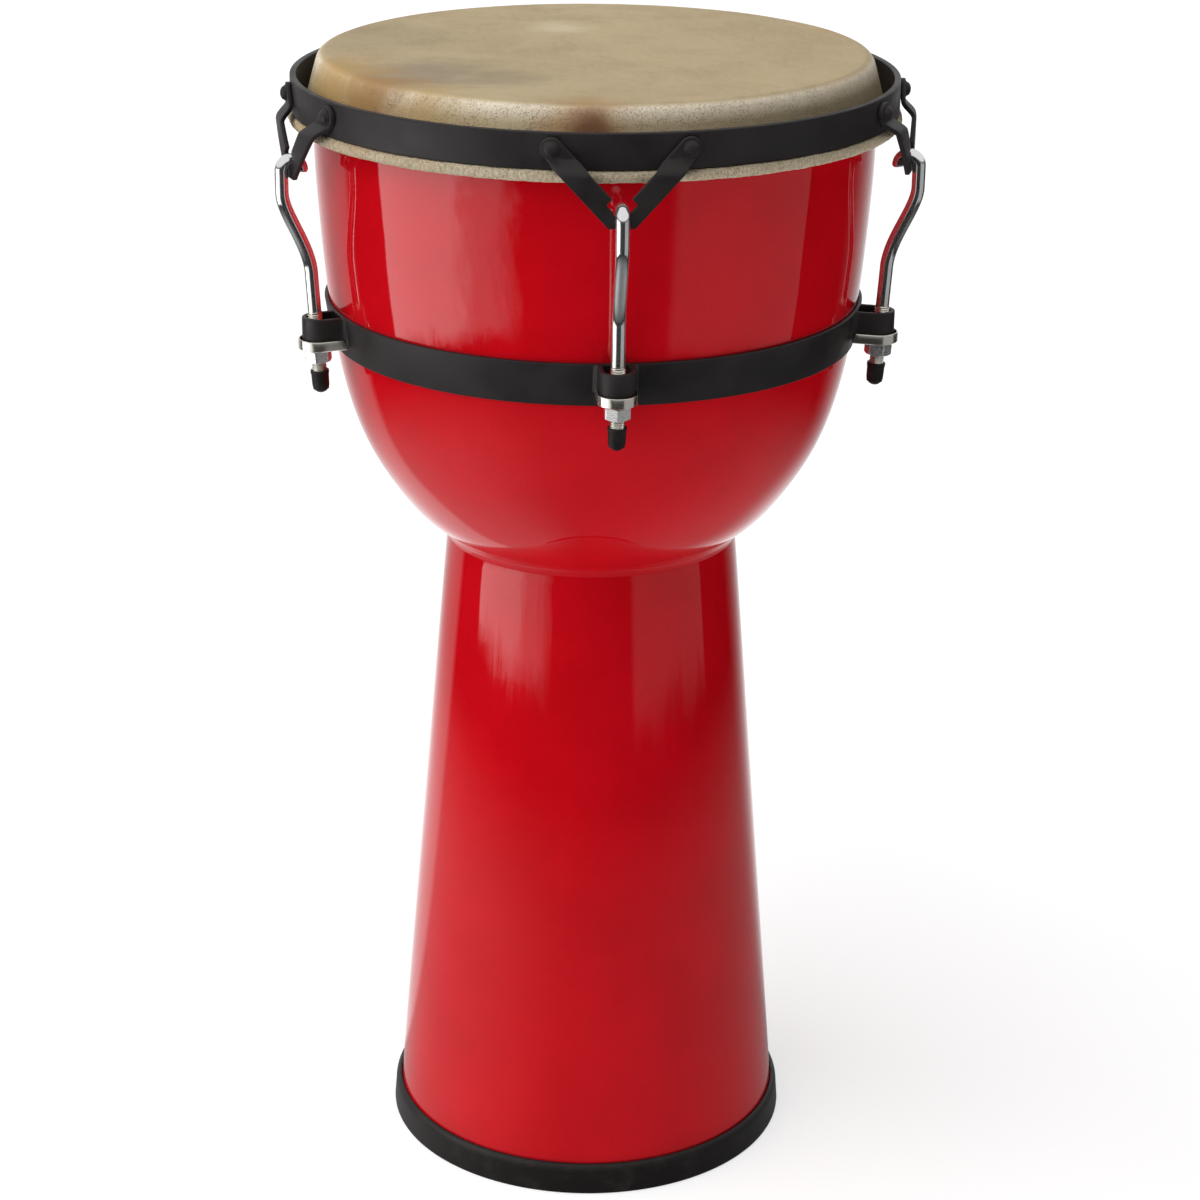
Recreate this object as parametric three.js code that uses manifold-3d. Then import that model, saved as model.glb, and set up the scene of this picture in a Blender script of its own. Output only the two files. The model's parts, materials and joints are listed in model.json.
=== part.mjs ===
// A goblet-shaped hand drum (djembe) with rod tuning, in millimetres, +Z up.
// Five lugs stand at equal steps round the bowl, and the first faces -Y. Each lug is drawn in its own frame:
// +X points away from the drum's axis and +Y round it. The origin is on the floor, at the middle of the
// whole drum's box. The axis of the shell stands a little behind it, because the front hook reaches out
// further than anything at the back does.
import * as THREE from 'three';
import { mergeVertices } from 'three/addons/utils/BufferGeometryUtils.js';
import Module from 'manifold-3d';

const wasm = await Module();
wasm.setup();

// Driving dimensions.
const DEG = Math.PI / 180;
const GAP = 0.3;                       // clearance between neighbouring pieces
const AROUND = 40;                     // facets round the drum, a multiple of the number of lugs
const AROUND_SMALL = 12;               // facets round a rod, a rivet or a cap
const BEND_STEPS = 3;                  // facets along a bend
const WELD = 1e-4;                     // vertices closer than this are one
const PAST = 1;                        // how far a cutting tool passes the face it opens
const LUGS = 5;
const LUG_STEP = 360 / LUGS * DEG;

const HEAD_TOP = 638;                  // height of the playing surface
const SKIN = 1.1;                      // thickness of the skin
// The skin bends over the bearing edge and then runs down straight, spreading by the lean. That wall passes
// the 152.4 mm radius of a 12 inch head level with the top of the rim.
const SHOULDER = { radius: 143.7, bend: 6, lean: 16.2 * DEG };
const COLLAR_Z = 615;                  // where the wall turns out to the flesh hoop

const FLESH_HOOP = { radius: 161.9, z: 604.9, bar: 1.7 };
const WRAP_END = 125 * DEG;            // how far the skin is tucked over the flesh hoop

const RIM = { inner: 160.55, outer: 163.55, bottom: 608.2, top: 626.7 };

const BOWL_WALL = 8;
const BOWL_TOP = { radius: 150.9, z: 620 };   // where the bowl's side begins to lean in to its bearing edge
const WAIST = { radius: 81.6, z: 366 };
const WAIST_FILLET = 7;
const WAIST_TURN = 55 * DEG;           // how far the fillet turns before the bowl begins

const STEM_WALL = 6;
const STEM_BOTTOM = { radius: 113, z: 3.3 };
const STEM_BULGE = 0.8;                // the stem's side bows out a little from a straight cone
const SPIGOT = { radius: 78.7, height: 10 };   // the stem's neck that is glued into the bowl

const FOOT = {
  radius: 116.6, height: 18, shoulder: 12, draft: 0.8, roundWidth: 3, floor: 3,
  inner: 103.6, innerHeight: 12,
};

const BELT = { bottom: 482.5, top: 505.5, thickness: 2 };

const LOOP = { outerRadius: 9.3, strap: 2.5, centre: 157.9, bottom: 490.6, top: 505.5 };

const ROD_RADIUS = 3.6;
const THREAD_RADIUS = 3.95;
const ROD_LEAN = 3.5 * DEG;            // the rod's foot leans in towards the stem
const ROD_FOOT = { radius: 158.9, z: 484 };   // the point on the rod's axis at the nut
const ROD_END = 466;
const THREAD_TOP = 509;
const HOOK = { radius: 171.3, z: 585.5, bend: 5.4, turn: 190 * DEG };
const JOG = { top: 574, bottom: 528, upperPull: 562, lowerPull: 545, sag: 0.8 };   // the rod's step inwards

const WASHER = { centre: 158.9, lipRadius: 10.5, lip: 0.9, hole: 4.7, inner: 146 };
const WASHER_PLATE = { bottom: 488.3, top: 490.3, lipTop: 493.8 };

const NUT = { flats: 13, bore: 4.35, bottom: 480.9, height: 6.7 };
const CAP = { radius: 5, bore: 4.3, bottom: 463.3, top: 476, play: 0.5 };

const CLAW = {
  plate: 2.5, earSpan: 33.7, earZ: 619, strap: 11.4, legAngle: 47 * DEG,
  bottom: 581.3, saddle: 586, saddleRadius: 4.5, notchDepth: 4.2, notchAt: 4.8,
  kinkTop: 614.4, kinkBottom: 607,
};
const RIVET = { head: 4.3, proud: 3, shank: 2.5 };

const CLAW_EAR_RADIUS = RIM.outer + GAP + CLAW.plate / 2;
const EAR_ANGLE = Math.asin(CLAW.earSpan / CLAW_EAR_RADIUS);

const HOOK_REACH = HOOK.radius + HOOK.bend + ROD_RADIUS;
const WRAP_REACH = FLESH_HOOP.radius + FLESH_HOOP.bar + GAP + SKIN;

function point(radius, z) {
  return new THREE.Vector2(radius, z);
}

// Points on an arc about (radius, z), with angles measured from the outward direction towards +Z.
function arc(radius, z, bend, from, to, steps) {
  const points = [];
  for (let i = 0; i <= steps; i += 1) {
    const angle = from + (to - from) * i / steps;
    points.push(point(radius + bend * Math.cos(angle), z + bend * Math.sin(angle)));
  }
  return points;
}

// The same line, moved to its left by a distance, and listed in the same order.
function offsetLine(points, distance) {
  return points.map((here, i) => {
    const before = points[Math.max(i - 1, 0)];
    const after = points[Math.min(i + 1, points.length - 1)];
    const along = after.clone().sub(before).normalize();
    return point(here.x - along.y * distance, here.y + along.x * distance);
  });
}

// A solid of revolution about the drum's axis. The profile runs up its outside and down its inside.
function turned(profile, segments = AROUND) {
  return new THREE.LatheGeometry(profile, segments).rotateX(Math.PI / 2);
}

function closedLoop(points) {
  return [...points, points[0]];
}

// A flat shape drawn in X and Y, raised from one height to another.
function raised(shape, bottom, top, curveSegments = 10) {
  const options = { depth: top - bottom, bevelEnabled: false, curveSegments };
  return new THREE.ExtrudeGeometry(shape, options).translate(0, 0, bottom);
}

// A geometry with its shared vertices merged and its collapsed triangles left out.
function welded(geometry) {
  const bare = geometry.clone();
  bare.deleteAttribute('normal');
  bare.deleteAttribute('uv');
  const merged = mergeVertices(bare, WELD);
  const old = merged.index.array;
  const kept = [];
  for (let i = 0; i < old.length; i += 3) {
    const corners = [old[i], old[i + 1], old[i + 2]];
    if (new Set(corners).size === 3) {
      kept.push(...corners);
    }
  }
  merged.setIndex(kept);
  return merged;
}

function toSolid(geometry) {
  const merged = welded(geometry);
  return new wasm.Manifold(new wasm.Mesh({
    numProp: 3,
    vertProperties: new Float32Array(merged.attributes.position.array),
    triVerts: new Uint32Array(merged.index.array),
  }));
}

function fromSolid(solid) {
  const mesh = solid.getMesh();
  const geometry = new THREE.BufferGeometry();
  geometry.setAttribute('position', new THREE.BufferAttribute(mesh.vertProperties, 3));
  geometry.setIndex(new THREE.BufferAttribute(mesh.triVerts, 1));
  return geometry;
}

function cut(geometry, ...tools) {
  let solid = toSolid(geometry);
  for (const tool of tools) {
    solid = solid.subtract(toSolid(tool));
  }
  return fromSolid(solid);
}

// ---- Shell -------------------------------------------------------------------------------------

// The bowl's outside, from the end of the waist fillet to where it leans in to the bearing edge.
function bowlSide(fillet) {
  const start = fillet[fillet.length - 1];
  return new THREE.SplineCurve([
    start, point(96, 381.8), point(119.9, 412), point(136.8, 455),
    point(146.1, 510), point(151.1, 575), point(151.3, 604),
    point(BOWL_TOP.radius, BOWL_TOP.z),
  ]).getPoints(9);
}

function bowlOutside() {
  const centre = WAIST.radius + WAIST_FILLET;
  const fillet = arc(
    centre, WAIST.z + GAP / 2, WAIST_FILLET, Math.PI, Math.PI - WAIST_TURN, BEND_STEPS);
  return [...fillet, ...bowlSide(fillet).slice(1)];
}

// The bend over the bearing edge at a given size, from the leaning wall up to level.
function shoulderArc(size) {
  return arc(SHOULDER.radius, HEAD_TOP - SHOULDER.bend, size, SHOULDER.lean, Math.PI / 2, BEND_STEPS);
}

function shellBowl() {
  const outside = bowlOutside();
  const bore = SPIGOT.radius + GAP;
  const inside = offsetLine(outside, BOWL_WALL).filter((p) => p.x > bore && p.y > WAIST.z + SPIGOT.height);
  const crest = shoulderArc(SHOULDER.bend - SKIN - GAP);
  const wall = inside[inside.length - 1].x;
  const bevel = SHOULDER.radius - wall;
  return turned(closedLoop([
    point(bore, WAIST.z + GAP / 2), ...outside, ...crest,
    point(wall, HEAD_TOP - SKIN - GAP - bevel), ...inside.reverse(),
    point(bore, WAIST.z + SPIGOT.height),
  ]));
}

function shellStem() {
  const top = point(WAIST.radius, WAIST.z - GAP / 2);
  const bottom = point(STEM_BOTTOM.radius, STEM_BOTTOM.z);
  const bow = point((top.x + bottom.x) / 2 + STEM_BULGE, (top.y + bottom.y) / 2);
  const outside = new THREE.QuadraticBezierCurve(bottom, bow, top).getPoints(4);
  const inside = offsetLine(outside, STEM_WALL).reverse();
  const spigotTop = WAIST.z + SPIGOT.height - GAP;
  return turned(closedLoop([
    ...outside, point(SPIGOT.radius, top.y), point(SPIGOT.radius, spigotTop),
    point(inside[0].x, spigotTop), ...inside.slice(0, -1),
    point(bottom.x - STEM_WALL, bottom.y),
  ]));
}

function footRing() {
  const slope = (STEM_BOTTOM.radius - WAIST.radius) / (WAIST.z - STEM_BOTTOM.z);
  const side = (z) => STEM_BOTTOM.radius - slope * (z - STEM_BOTTOM.z);
  const grip = (z) => side(z) + 2 * GAP;
  const lining = (z) => side(z) - STEM_WALL - 2 * GAP;
  const roundHeight = FOOT.height - FOOT.shoulder;
  const flat = FOOT.radius - FOOT.draft - FOOT.roundWidth;
  const lip = arc(0, 0, 1, 0, Math.PI / 2, BEND_STEPS)
    .map((p) => point(flat + p.x * FOOT.roundWidth, FOOT.shoulder + p.y * roundHeight));
  return turned(closedLoop([
    point(FOOT.inner, 0), point(FOOT.radius, 0), ...lip,
    point(grip(FOOT.height), FOOT.height), point(grip(FOOT.floor), FOOT.floor),
    point(lining(FOOT.floor), FOOT.floor), point(lining(FOOT.innerHeight), FOOT.innerHeight),
    point(FOOT.inner, FOOT.innerHeight),
  ]));
}

// Radius of the bowl's outside at a height, read from its outline.
function bowlRadius(z) {
  const outside = bowlOutside();
  const i = outside.findIndex((p) => p.y > z);
  const [low, high] = [outside[i - 1], outside[i]];
  return THREE.MathUtils.mapLinear(z, low.y, high.y, low.x, high.x);
}

// A cone that follows the bowl between two heights, from one distance off its surface to another.
function bowlSleeve(bottom, top, near, far) {
  const middle = (bottom + top) / 2;
  const heights = [bottom, middle, top];
  const outer = heights.map((z) => point(bowlRadius(z) + far, z));
  const inner = heights.map((z) => point(bowlRadius(z) + near, z)).reverse();
  return turned(closedLoop([...outer, ...inner]));
}

function beltBand() {
  return bowlSleeve(BELT.bottom, BELT.top, GAP, GAP + BELT.thickness);
}

// ---- Head --------------------------------------------------------------------------------------

// The skin runs flat over the shell, turns down inside the rim and is tucked round the flesh hoop.
function drumSkin() {
  const { radius, z, bar } = FLESH_HOOP;
  const inside = bar + GAP;
  const outside = inside + SKIN;
  const topSide = shoulderArc(SHOULDER.bend);
  const underside = shoulderArc(SHOULDER.bend - SKIN).reverse();
  const collar = (start) => point(start.x + (start.y - COLLAR_Z) * Math.tan(SHOULDER.lean), COLLAR_Z);
  const aroundHoop = (size) => arc(radius, z, size, WRAP_END, -Math.PI, 3 * BEND_STEPS);
  return turned([
    point(0, HEAD_TOP - SKIN), ...underside, collar(underside[BEND_STEPS]),
    ...aroundHoop(outside).reverse(), ...aroundHoop(inside),
    collar(topSide[0]), ...topSide, point(0, HEAD_TOP),
  ]);
}

function fleshHoop() {
  const { radius, z, bar } = FLESH_HOOP;
  return turned(arc(radius, z, bar, 0, 2 * Math.PI, 8));
}

// The counter hoop is a flat steel band with a hole at every claw's ear.
function counterHoop() {
  const { inner, outer, bottom, top } = RIM;
  const band = turned(closedLoop([
    point(inner, bottom), point(outer, bottom), point(outer, top), point(inner, top),
  ]));
  const holes = [];
  for (let lug = 0; lug < LUGS; lug += 1) {
    for (const side of [-1, 1]) {
      const angle = lugAngle(lug) + side * EAR_ANGLE;
      holes.push(rivetHole().rotateZ(angle));
    }
  }
  return cut(band, ...holes);
}

// ---- Claws and rivets --------------------------------------------------------------------------

function lugAngle(lug) {
  return lug * LUG_STEP - Math.PI / 2;
}

// Clearance for a rivet's shank through the rim and a claw's ear, along +X.
function rivetHole() {
  const radius = RIVET.shank + GAP;
  const length = 5 * CLAW.plate;
  const hole = new THREE.CylinderGeometry(radius, radius, length, AROUND_SMALL);
  return hole.rotateZ(Math.PI / 2).translate(CLAW_EAR_RADIUS, 0, CLAW.earZ);
}

// Half of the claw's V, seen from the front: a strap with a round ear, and a notch above the saddle.
function clawShape() {
  const { earSpan, earZ, strap, legAngle, bottom, saddle, saddleRadius, notchDepth, notchAt } = CLAW;
  const half = strap / 2;
  const down = new THREE.Vector2(Math.cos(legAngle), -Math.sin(legAngle));
  const inward = new THREE.Vector2(-down.y, down.x);
  const ear = point(-earSpan, earZ);
  const outerEdge = ear.clone().addScaledVector(inward, -half);
  const innerEdge = ear.clone().addScaledVector(inward, half);
  const toFoot = (outerEdge.y - bottom) / Math.sin(legAngle);
  const foot = outerEdge.clone().addScaledVector(down, toFoot);
  const toNotch = (-notchAt - innerEdge.x) / Math.cos(legAngle);
  const notchTop = innerEdge.clone().addScaledVector(down, toNotch);
  const notchBottom = notchTop.clone().addScaledVector(inward, -notchDepth);
  const toSaddle = (-saddleRadius - notchBottom.x) / Math.cos(legAngle);
  const saddleEdge = notchBottom.clone().addScaledVector(down, toSaddle);
  const earRound = arc(ear.x, ear.y, half, Math.PI * 1.5 - legAngle, Math.PI / 2 - legAngle, 5);
  const saddleRound = arc(0, saddle + saddleRadius, saddleRadius, Math.PI, Math.PI * 1.5, BEND_STEPS);
  const left = [foot, ...earRound, notchTop, notchBottom, saddleEdge, ...saddleRound];
  const right = left.slice(0, -1).reverse().map((p) => point(-p.x, p.y));
  return new THREE.Shape([...left, ...right]);
}

// The claw's plate as a full ring: flat on the rim at the top, and stepped out over the flesh hoop below.
function clawRing() {
  const thick = CLAW.plate / 2;
  const line = [
    point(HOOK.radius, CLAW.bottom - PAST), point(HOOK.radius, CLAW.kinkBottom),
    point(CLAW_EAR_RADIUS, CLAW.kinkTop), point(CLAW_EAR_RADIUS, CLAW.earZ + CLAW.strap),
  ];
  return turned(closedLoop([...offsetLine(line, -thick), ...offsetLine(line, thick).reverse()]));
}

function claw() {
  const upright = new THREE.Matrix4().makeBasis(
    new THREE.Vector3(0, 1, 0), new THREE.Vector3(0, 0, 1), new THREE.Vector3(1, 0, 0));
  const cutter = raised(clawShape(), RIM.inner, HOOK.radius + CLAW.plate * 2).applyMatrix4(upright);
  const plate = fromSolid(toSolid(clawRing()).intersect(toSolid(cutter)));
  return cut(plate, rivetHole().rotateZ(EAR_ANGLE), rivetHole().rotateZ(-EAR_ANGLE));
}

// A rivet along +X, from the inside of the rim to its domed head on the claw's ear.
function rivet() {
  const seat = CLAW_EAR_RADIUS + CLAW.plate / 2 + GAP;
  const dome = arc(0, 0, 1, 0, Math.PI / 2, BEND_STEPS)
    .map((p) => point(p.x * RIVET.head, seat + p.y * RIVET.proud));
  const profile = [
    point(0, RIM.inner), point(RIVET.shank, RIM.inner), point(RIVET.shank, seat), ...dome,
  ];
  return new THREE.LatheGeometry(profile, AROUND_SMALL).rotateZ(-Math.PI / 2).translate(0, 0, CLAW.earZ);
}

// ---- Tension rods and their hardware -----------------------------------------------------------

// Distance of the rod's leaning lower part from the drum's axis.
function rodRadius(z) {
  return ROD_FOOT.radius + (z - ROD_FOOT.z) * Math.tan(ROD_LEAN);
}

// The rod's centre line in the lug's upright plane. Its five stretches share the parameter unequally, so
// that the tight hook gets as many stations as the long straight foot.
class RodLine extends THREE.Curve {
  constructor() {
    super();
    const shank = HOOK.radius + HOOK.bend;
    const foot = point(rodRadius(ROD_END), ROD_END);
    const jogTop = point(shank, JOG.top);
    const jogBottom = point(rodRadius(JOG.bottom), JOG.bottom);
    const upperPull = point(shank, JOG.upperPull);
    const lowerPull = point(rodRadius(JOG.lowerPull) - JOG.sag, JOG.lowerPull);
    const jog = new THREE.CubicBezierCurve(jogTop, upperPull, lowerPull, jogBottom);
    this.stretches = [
      { share: 8, line: (t) => this.hook(1 - t) },
      { share: 2, line: (t) => point(shank, HOOK.z + (jogTop.y - HOOK.z) * t) },
      { share: 7, line: (t) => jog.getPoint(t) },
      { share: 2, line: (t) => jogBottom.clone().lerp(foot, t) },
    ];
    this.total = this.stretches.reduce((sum, stretch) => sum + stretch.share, 0);
  }

  hook(t) {
    const angle = HOOK.turn * t;
    return point(HOOK.radius + HOOK.bend * Math.cos(angle), HOOK.z + HOOK.bend * Math.sin(angle));
  }

  getPoint(t) {
    let left = t * this.total;
    let i = 0;
    while (i < this.stretches.length - 1 && left > this.stretches[i].share) {
      left -= this.stretches[i].share;
      i += 1;
    }
    const flat = this.stretches[i].line(left / this.stretches[i].share);
    return new THREE.Vector3(flat.x, 0, flat.y);
  }

  // Stations are evenly spaced in the parameter and not along the length.
  getPointAt(u) {
    return this.getPoint(u);
  }

  getTangentAt(u) {
    return this.getTangent(u);
  }

  getSpacedPoints(divisions) {
    return this.getPoints(divisions);
  }
}

// Turns an upright piece, drawn about the Z axis at its true height, onto the rod's leaning foot.
function ontoRod(geometry) {
  return geometry.translate(0, 0, -ROD_FOOT.z).rotateY(ROD_LEAN).translate(ROD_FOOT.radius, 0, ROD_FOOT.z);
}

function tensionRod() {
  const line = new RodLine();
  const section = new THREE.Shape().absarc(0, 0, ROD_RADIUS, 0, 2 * Math.PI);
  const options = { extrudePath: line, steps: line.total, curveSegments: 5, bevelEnabled: false };
  const wire = new THREE.ExtrudeGeometry(section, options);
  const length = (THREAD_TOP - ROD_END) / Math.cos(ROD_LEAN);
  const thread = new THREE.CylinderGeometry(THREAD_RADIUS, THREAD_RADIUS, length, AROUND_SMALL);
  thread.rotateX(Math.PI / 2).translate(0, 0, ROD_END + length / 2);
  return fromSolid(toSolid(wire).add(toSolid(ontoRod(thread))));
}

function rodCap() {
  const { radius, bore, bottom, top, play } = CAP;
  const seat = ROD_END - play;
  const dome = arc(0, bottom + radius, radius, -Math.PI / 2, 0, BEND_STEPS);
  return ontoRod(turned([
    ...dome, point(radius, top), point(bore, top), point(bore, seat), point(0, seat),
  ], AROUND_SMALL));
}

function tuningNut() {
  const { flats, bore, bottom, height } = NUT;
  const corner = flats / Math.sqrt(3);
  const hexagon = new THREE.Shape(arc(0, 0, corner, 0, Math.PI * 5 / 3, 5));
  hexagon.holes.push(new THREE.Path().absarc(0, 0, bore, 0, 2 * Math.PI));
  return ontoRod(raised(hexagon, bottom, bottom + height));
}

// ---- Lugs --------------------------------------------------------------------------------------

// The outline of a U whose round end points outwards, from an inner end to the far side of its arc.
function tongue(inner, centre, radius) {
  const shape = new THREE.Shape();
  shape.moveTo(inner, -radius);
  shape.lineTo(centre, -radius);
  shape.absarc(centre, 0, radius, -Math.PI / 2, Math.PI / 2);
  shape.lineTo(inner, radius);
  return shape;
}

function lugLoop() {
  const { outerRadius, strap, centre, bottom, top } = LOOP;
  const root = bowlRadius(bottom);
  const outer = raised(tongue(root, centre, outerRadius), bottom, top);
  const eye = raised(tongue(root - PAST, centre, outerRadius - strap), bottom - PAST, top + PAST);
  const band = bowlSleeve(BELT.bottom, BELT.top + PAST, -outerRadius, 2 * GAP + BELT.thickness);
  return cut(outer, eye, band);
}

function trayWasher() {
  const { centre, lipRadius, lip, hole, inner } = WASHER;
  const { bottom, top, lipTop } = WASHER_PLATE;
  const blank = raised(tongue(inner, centre, lipRadius), bottom, lipTop);
  const tray = raised(tongue(inner - PAST, centre, lipRadius - lip), top, lipTop + PAST);
  const circle = new THREE.Shape().absarc(centre, 0, hole, 0, 2 * Math.PI);
  const bore = raised(circle, bottom - PAST, top + PAST, 8);
  return cut(blank, tray, bore);
}

// ---- Materials and assembly --------------------------------------------------------------------

const finish = {
  lacquer: { color: 0xb30a12, roughness: 0.12, metalness: 0 },
  blackSteel: { color: 0x1c1b1b, roughness: 0.45, metalness: 0.3 },
  chrome: { color: 0xd9dadc, roughness: 0.08, metalness: 1 },
  rubber: { color: 0x161616, roughness: 0.75, metalness: 0 },
  hide: { color: 0xb9a37c, roughness: 0.6, metalness: 0 },
  bareSteel: { color: 0x8f8f8d, roughness: 0.4, metalness: 1 },
};

const drum = new THREE.Group();
drum.position.y = (HOOK_REACH - WRAP_REACH) / 2;

function add(parent, name, geometry, look) {
  const mesh = new THREE.Mesh(welded(geometry), new THREE.MeshStandardMaterial(finish[look]));
  mesh.name = name;
  mesh.geometry.computeVertexNormals();
  parent.add(mesh);
  return mesh;
}

add(drum, 'shell_bowl', shellBowl(), 'lacquer');
add(drum, 'shell_stem', shellStem(), 'lacquer');
add(drum, 'foot_ring', footRing(), 'rubber');
add(drum, 'belt_band', beltBand(), 'blackSteel');
add(drum, 'drum_skin', drumSkin(), 'hide');
add(drum, 'flesh_hoop', fleshHoop(), 'bareSteel');
add(drum, 'counter_hoop', counterHoop(), 'blackSteel');

for (let lug = 0; lug < LUGS; lug += 1) {
  const station = new THREE.Group();
  station.rotation.z = lugAngle(lug);
  drum.add(station);
  const number = lug + 1;
  add(station, `lug_loop_${number}`, lugLoop(), 'blackSteel');
  add(station, `lug_washer_${number}`, trayWasher(), 'chrome');
  add(station, `tension_rod_${number}`, tensionRod(), 'chrome');
  add(station, `tuning_nut_${number}`, tuningNut(), 'chrome');
  add(station, `rod_cap_${number}`, rodCap(), 'rubber');
  add(station, `claw_${number}`, claw(), 'blackSteel');
  add(station, `claw_rivet_${number}_left`, rivet(), 'blackSteel').rotation.z = -EAR_ANGLE;
  add(station, `claw_rivet_${number}_right`, rivet(), 'blackSteel').rotation.z = EAR_ANGLE;
}

export default drum;
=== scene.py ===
import json
import math

import bmesh
import bpy
import numpy as np
from mathutils import Matrix, Vector, noise
from mathutils.bvhtree import BVHTree

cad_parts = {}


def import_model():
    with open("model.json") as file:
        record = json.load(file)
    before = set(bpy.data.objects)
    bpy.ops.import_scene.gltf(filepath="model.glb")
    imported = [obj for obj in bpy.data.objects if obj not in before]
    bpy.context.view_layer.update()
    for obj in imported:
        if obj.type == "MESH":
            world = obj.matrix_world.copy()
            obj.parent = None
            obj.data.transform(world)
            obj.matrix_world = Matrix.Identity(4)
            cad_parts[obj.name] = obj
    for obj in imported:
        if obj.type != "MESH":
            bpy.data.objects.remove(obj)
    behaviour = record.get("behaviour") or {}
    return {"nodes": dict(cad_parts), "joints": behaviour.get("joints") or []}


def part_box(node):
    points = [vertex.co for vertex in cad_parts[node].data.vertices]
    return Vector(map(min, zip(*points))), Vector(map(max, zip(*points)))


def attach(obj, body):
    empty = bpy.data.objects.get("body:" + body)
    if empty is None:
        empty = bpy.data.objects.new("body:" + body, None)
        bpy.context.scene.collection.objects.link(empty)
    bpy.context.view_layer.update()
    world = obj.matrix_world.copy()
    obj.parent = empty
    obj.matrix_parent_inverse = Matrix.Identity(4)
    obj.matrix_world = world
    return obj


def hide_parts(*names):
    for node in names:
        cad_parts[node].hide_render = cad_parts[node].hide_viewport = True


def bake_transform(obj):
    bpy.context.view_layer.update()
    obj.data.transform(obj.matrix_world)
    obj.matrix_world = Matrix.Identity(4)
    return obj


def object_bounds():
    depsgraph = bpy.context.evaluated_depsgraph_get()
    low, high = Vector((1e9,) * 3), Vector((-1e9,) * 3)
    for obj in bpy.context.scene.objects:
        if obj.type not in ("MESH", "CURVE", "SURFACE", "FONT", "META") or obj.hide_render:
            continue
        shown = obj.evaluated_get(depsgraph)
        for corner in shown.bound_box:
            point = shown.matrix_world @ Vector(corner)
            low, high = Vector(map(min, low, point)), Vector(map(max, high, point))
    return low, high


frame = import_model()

CAD_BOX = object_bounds()
MM = 0.001
HAIR = 0.002 * MM                 # points closer than this are one
AROUND = 288                      # steps round the drum
LUGS = range(1, 6)
LUG_TURN = 360 / len(LUGS)        # degrees from one lug to the next
SHELL_LOW, SHELL_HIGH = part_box("shell_bowl")
AXIS_Y = (SHELL_LOW.y + SHELL_HIGH.y) / 2
TO_AXIS = Matrix.Translation((0, AXIS_Y, 0))


# ---- Reading the frame --------------------------------------------------------------------------------

def radius_of(point):
    """Distance of a point from the shell's axis."""
    return math.hypot(point.x, point.y - AXIS_Y)


def radii(node):
    """Smallest and largest distance of a node's vertices from the shell's axis."""
    found = [radius_of(v.co) for v in frame["nodes"][node].data.vertices]
    return min(found), max(found)


def outline(node):
    """The outside of a round CAD node as (radius, height) points, lowest first."""
    mesh = frame["nodes"][node].data
    tree = BVHTree.FromPolygons([v.co for v in mesh.vertices], [p.vertices[:] for p in mesh.polygons])
    widest = {}
    for v in mesh.vertices:
        height = round(v.co.z, 5)
        widest[height] = max(widest.get(height, 0), radius_of(v.co))
    off_vertex = 0.01 * MM
    in_front = -1.0
    on_outside = 0.1 * MM
    line = []
    for height, radius in sorted(widest.items()):
        hit = tree.ray_cast(Vector((off_vertex, in_front, height)), Vector((0, 1, 0)))[0]
        if hit and abs(AXIS_Y - hit.y - radius) < on_outside:
            line.append(Vector((radius, height)))
    return line


def lug_span(piece):
    """Nearest and farthest radius, half width, lowest and highest point of lug 1's copy of a piece."""
    low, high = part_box(f"{piece}_1")
    return AXIS_Y - high.y, AXIS_Y - low.y, high.x, low.z, high.z


def joint(name):
    """The record of a joint."""
    return next(j for j in frame["joints"] if j["name"] == name)


# ---- Lines --------------------------------------------------------------------------------------------

def arc(centre, radius, start, end, steps):
    """Points on an arc, with angles in degrees from the first axis towards the second."""
    angles = [math.radians(start + (end - start) * i / steps) for i in range(steps + 1)]
    return [Vector((centre[0] + radius * math.cos(a), centre[1] + radius * math.sin(a))) for a in angles]


def smooth_line(points, spacing):
    """A curve without kinks through the points: a natural cubic spline over their running length."""
    p = np.array([tuple(q) for q in points])
    t = np.concatenate(([0.0], np.cumsum(np.linalg.norm(np.diff(p, axis=0), axis=1))))
    gap = np.diff(t)
    system = np.eye(len(p))
    right = np.zeros_like(p)
    for i in range(1, len(p) - 1):
        system[i, i - 1:i + 2] = gap[i - 1], 2 * (gap[i - 1] + gap[i]), gap[i]
        right[i] = 6 * ((p[i + 1] - p[i]) / gap[i] - (p[i] - p[i - 1]) / gap[i - 1])
    bend = np.linalg.solve(system, right)
    line = []
    for i, length in enumerate(gap):
        steps = max(1, round(length / spacing))
        for step in range(steps):
            b = step / steps
            a = 1 - b
            pull = ((a ** 3 - a) * bend[i] + (b ** 3 - b) * bend[i + 1]) * length ** 2 / 6
            line.append(Vector(a * p[i] + b * p[i + 1] + pull))
    return line + [Vector(p[-1])]


def offset_line(points, distance):
    """The open line moved to its left."""
    moved = []
    for i, here in enumerate(points):
        along = (points[min(i + 1, len(points) - 1)] - points[max(i - 1, 0)]).normalized()
        moved.append(here + Vector((-along.y, along.x)) * distance)
    return moved


def inset(loop, distance):
    """The closed anticlockwise outline moved inwards. A sharp corner moves no more than its limit."""
    corner_limit = 0.4
    moved = []
    for i, here in enumerate(loop):
        before = (here - loop[i - 1]).normalized()
        after = (loop[(i + 1) % len(loop)] - here).normalized()
        inwards = Vector((-before.y - after.y, before.x + after.x)).normalized()
        spread = max(corner_limit, inwards.dot(Vector((-before.y, before.x))))
        moved.append(here + inwards * distance / spread)
    return moved


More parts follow.
